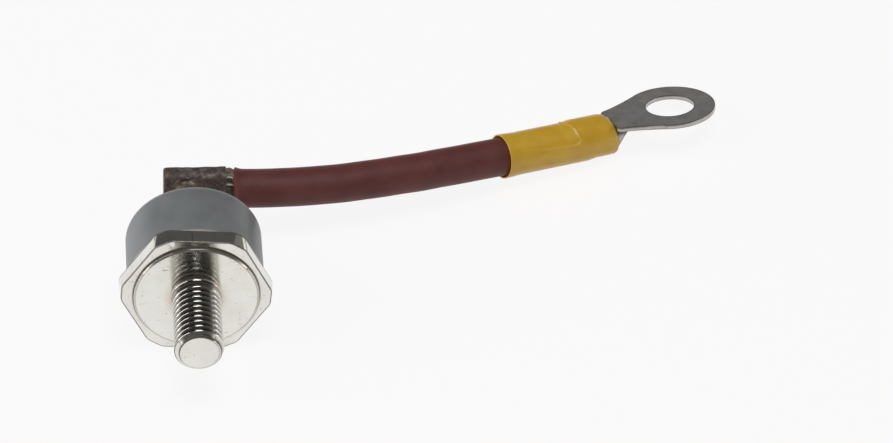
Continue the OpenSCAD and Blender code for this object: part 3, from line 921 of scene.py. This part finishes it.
def makeSleeve():
    long, wall = terminal["sleeveLong"], sleeve["wall"]
    outer = []
    for i in range(math.ceil(long / sleeve["ringStep"]) + 1):
        x = min(i * sleeve["ringStep"], long)
        narrow = (sleeve["bodyRadius"] - sleeve["mouthRadius"]) * smoothStep(x / sleeve["mouthLong"])
        outer.append((sleeve["mouthRadius"] + narrow - endTuck(x), x))
    inner = []
    for radius, x in reversed(outer[::sleeve["innerStep"]] + outer[-1:]):
        thick = wall - sleeve["mouthGap"] * (1 - smoothStep(x / sleeve["mouthLong"]))
        thick += (sleeve["crimpWall"] - wall) * smoothStep((x - sleeve["wallStart"]) / sleeve["wallLong"])
        inner.append((radius + endTuck(x) - thick, x))
    piece = turned("vinylSleeve", outer + inner + outer[:1], sleeve["sides"])
    piece.data.transform(Matrix.Rotation(math.radians(90), 4, "Y"))
    lift = math.radians(sleeve["liftAngle"])
    lift = Vector((0, math.sin(lift), math.cos(lift))) * sleeve["crimpLift"]
    for vertex in piece.data.vertices:
        x, y, z = vertex.co
        angle = math.degrees(math.atan2(y, z))
        radius = math.hypot(y, z)
        if radius > sleeve["bodyRadius"] - wall / 2:
            out = Vector((0, y, z)) / radius
            start = sleeve["crimpStart"] - sleeve["crimpSlant"] * towards(angle, sleeve["dieAngle"])
            vertex.co += out * dieRelief(x, angle)
            vertex.co += lift * smoothStep((x - start) / sleeve["crimpLong"])
            vertex.co += out * sleeve["endFlat"] * endTuck(x) * max(towards(angle, sleeve["endAngle"]), 0)
        slant = sleeve["mouthCut"] * (1 + towards(angle, sleeve["mouthAngle"]))
        vertex.co.x += slant * (1 - smoothStep(x / sleeve["mouthLong"]))
        slant = sleeve["endCut"] * (1 + towards(angle, sleeve["endAngle"]))
        vertex.co.x += slant * smoothStep(1 - (long - x) / sleeve["endCutLong"])
    applyModifier(piece, "BEVEL", width=sleeve["rimRound"], segments=3, limit_method="ANGLE",
                  angle_limit=sharpEdge)
    weld(piece)
    return setDown(piece, terminalPlace, smooth=40)


vinylSleeve = dress(makeSleeve(), vinyl(), ["terminal_sleeve"])
print("sleeve made")


# Copper sheet, tinned and stamped: soft grey metal with rolling marks, brown along the sheared edges
def tinnedSheet():
    material, tree, shader, coords = newMaterial("tinnedSheet")
    cloud = addNode(tree, "TexNoise", {"Vector": coords, "Scale": perMm(1.5), "Detail": 6, "Roughness": 0.6})
    tint = addNode(tree, "ValToRGB", {"Fac": cloud.outputs["Fac"]},
                   stops=[(0.3, linear("#ACAAA7")), (0.7, linear("#C9C8C6"))])
    colour, _ = wearAndPaintedLight(tree, tint.outputs["Color"], "#7C6A5E", 0.2, 0.95, 0.78, 0.8)
    colour, _ = wearAndPaintedLight(tree, colour, "#4A3B34", 1.2, 0.97, 0.7, 0.85, inward=False)  # painted shade under the tongue and next to the sleeve
    drawn = addNode(tree, "Mapping", {"Vector": coords, "Scale": (0.1, 1, 1),
                                      "Rotation": (0, 0, math.radians(-terminal["heading"]))})
    streak = addNode(tree, "TexNoise", {"Vector": drawn.outputs["Vector"], "Scale": perMm(0.3), "Detail": 4})
    bump = addNode(tree, "Bump", {"Height": streak.outputs["Fac"], "Strength": 0.15, "Distance": 0.03 * mm})
    satin = addNode(tree, "MapRange", {"Value": cloud.outputs["Fac"], "From Min": 0.3, "From Max": 0.7,
                                       "To Min": 0.3, "To Max": 0.42})
    fill(tree, shader, {"Base Color": colour, "Normal": bump.outputs["Normal"],
                        "Roughness": satin.outputs["Result"], "Metallic": 1.0})
    return material


# The ring terminal: the CAD stamping with its sheared edges softened
ringEdge = {"weld": 0.002, "flatness": 1.0, "bevel": 0.12, "sharp": 40}


def makeRing():
    source = frame["nodes"]["ring_terminal"]
    piece = bpy.data.objects.new("ringTerminal", source.data.copy())
    bpy.context.scene.collection.objects.link(piece)
    piece.data.transform(source.matrix_world)
    editAll(piece)
    bpy.ops.mesh.remove_doubles(threshold=ringEdge["weld"] * mm)
    bpy.ops.mesh.dissolve_limited(angle_limit=math.radians(ringEdge["flatness"]))
    bpy.ops.object.mode_set(mode="OBJECT")
    applyModifier(piece, "BEVEL", width=ringEdge["bevel"] * mm, segments=2, limit_method="ANGLE",
                  angle_limit=math.radians(ringEdge["sharp"]))
    return smoothOff(piece)


ringTerminal = dress(makeRing(), tinnedSheet(), ["ring_terminal"])
print("ring terminal finished")


# Inside the body the pieces keep their CAD shapes: silicon, sawn and etched to a dark mirror, solder that froze
# bright and grainy, and a milky coat of poured rubber
def innerMaterial(name, dark, bright, size, metallic, roughness):
    material, tree, shader, coords = newMaterial(name)
    cloud = addNode(tree, "TexNoise", {"Vector": coords, "Scale": perMm(size), "Detail": 4})
    tint = addNode(tree, "ValToRGB", {"Fac": cloud.outputs["Fac"]},
                   stops=[(0.35, linear(dark)), (0.65, linear(bright))])
    bump = addNode(tree, "Bump", {"Height": cloud.outputs["Fac"], "Strength": 0.1, "Distance": 0.02 * mm})
    fill(tree, shader, {"Base Color": tint.outputs["Color"], "Normal": bump.outputs["Normal"],
                        "Metallic": metallic, "Roughness": roughness})
    return material


inside = {
    "chip": innerMaterial("silicon", "#3A3E46", "#555B66", 1.5, 0.6, 0.2),
    "lower_solder": innerMaterial("solder", "#8C8C8A", "#B4B4B0", 0.8, 1.0, 0.35),
    "junction_coat": innerMaterial("siliconeCoat", "#CFCBC2", "#E0DDD6", 2.0, 0.0, 0.45),
}
inside["upper_solder"] = inside["lower_solder"]
for name, material in inside.items():
    for slot in frame["nodes"][name].material_slots:
        slot.material = material

# The table: pale and matt, white to the camera and in the metal near the object, and it keeps the shadow
table = {
    "size": 12,  # this and the lit reach are in metres
    "litNear": 0.07,
    "litFar": 0.2,
    "dimmest": 0.15,
    "narrow": 0.35,  # the lit part is longer from left to right
    "tone": "#F7F7F7",
    "white": "#FFFEFE",
    "whiteShare": 0.9,
}


def makeFloor():
    bpy.ops.mesh.primitive_plane_add(size=table["size"])
    floor = bpy.context.view_layer.objects.active
    floor.name = "floor"
    material, tree, shader, coords = newMaterial("paleTable")
    fill(tree, shader, {"Base Color": linear(table["tone"]), "Roughness": 0.6})
    ray = addNode(tree, "LightPath")
    wide = addNode(tree, "Mapping", {"Vector": coords, "Scale": (table["narrow"], 1, 1)})
    away = addNode(tree, "VectorMath", {0: wide.outputs["Vector"]}, operation="LENGTH")
    near = addNode(tree, "MapRange", {"Value": away.outputs["Value"], "From Min": table["litNear"],
                                      "From Max": table["litFar"], "To Min": 1.0, "To Max": table["dimmest"]})
    seen = addNode(tree, "Math", {0: ray.outputs["Is Glossy Ray"], 1: near.outputs["Result"]},
                   operation="MULTIPLY")
    for kind in ("Is Camera Ray", "Is Transmission Ray"):
        seen = addNode(tree, "Math", {0: seen.outputs[0], 1: ray.outputs[kind]}, operation="MAXIMUM")
    share = addNode(tree, "Math", {0: seen.outputs[0], 1: table["whiteShare"]}, operation="MULTIPLY")
    glow = addNode(tree, "Emission", {"Color": linear(table["white"]), "Strength": 1.0})
    mix = addNode(tree, "MixShader", {0: share.outputs[0], 1: shader.outputs[0], 2: glow.outputs[0]})
    fill(tree, tree.nodes["Material Output"], {"Surface": mix.outputs[0]})
    floor.data.materials.append(material)


# The room: bright low down at both sides, dim in front, behind and overhead
room = {
    "sideGlow": 1.6,
    "sideStart": 0.6,  # sideways part of the direction, from nothing to the full glow
    "sideEnd": 0.92,
    "sideHeights": [(0.0, 1.0), (0.1, 1.0), (0.22, 0.2), (0.36, 0.0)],  # sine of height, share
    "farHeights": [(0.0, 0.3), (0.15, 0.2), (0.35, 0.1), (1.0, 0.075)],
    "tint": "#FFFBF6",
}


def makeWorld():
    world = bpy.data.worlds.new("studio")
    bpy.context.scene.world = world
    world.use_nodes = True
    tree = world.node_tree
    tree.nodes.clear()
    parts = addNode(tree, "SeparateXYZ", {0: addNode(tree, "TexCoord").outputs["Generated"]})
    sides, far = (
        addNode(tree, "ValToRGB", {"Fac": parts.outputs["Z"]},
                stops=[(height, (share, share, share, 1)) for height, share in room[heights]])
        for heights in ("sideHeights", "farHeights"))
    sideways = addNode(tree, "Math", {0: parts.outputs["X"]}, operation="ABSOLUTE")
    glow = addNode(tree, "MapRange", {"Value": sideways.outputs[0], "From Min": room["sideStart"],
                                      "From Max": room["sideEnd"], "To Min": 0.0, "To Max": room["sideGlow"]},
                   interpolation_type="SMOOTHSTEP")
    level = addNode(tree, "Math", {0: glow.outputs["Result"], 1: sides.outputs["Color"],
                                   2: far.outputs["Color"]}, operation="MULTIPLY_ADD")
    light = addNode(tree, "Background", {"Color": linear(room["tint"]), "Strength": level.outputs[0]})
    addNode(tree, "OutputWorld", {"Surface": light.outputs[0]})


softboxes = [
    {"name": "topSoftbox", "place": (0.065, -0.1, 0.64), "size": (0.31, 0.29), "watts": 1.62},
    {"name": "leftSoftbox", "place": (-0.75, -0.1, 0.5), "size": (0.5, 0.8), "watts": 3.0},
]


def makeLights():
    for box in softboxes:
        data = bpy.data.lights.new(box["name"], "AREA")
        data.shape = "RECTANGLE"
        data.size, data.size_y = box["size"]
        data.energy = box["watts"]
        light = bpy.data.objects.new(box["name"], data)
        light.location = box["place"]
        light.rotation_euler = (-Vector(box["place"])).to_track_quat("-Z", "Y").to_euler()
        light.visible_camera = False
        bpy.context.scene.collection.objects.link(light)


makeFloor()
makeWorld()
makeLights()
bpy.context.scene.view_settings.view_transform = "Standard"
print("floor and light set")
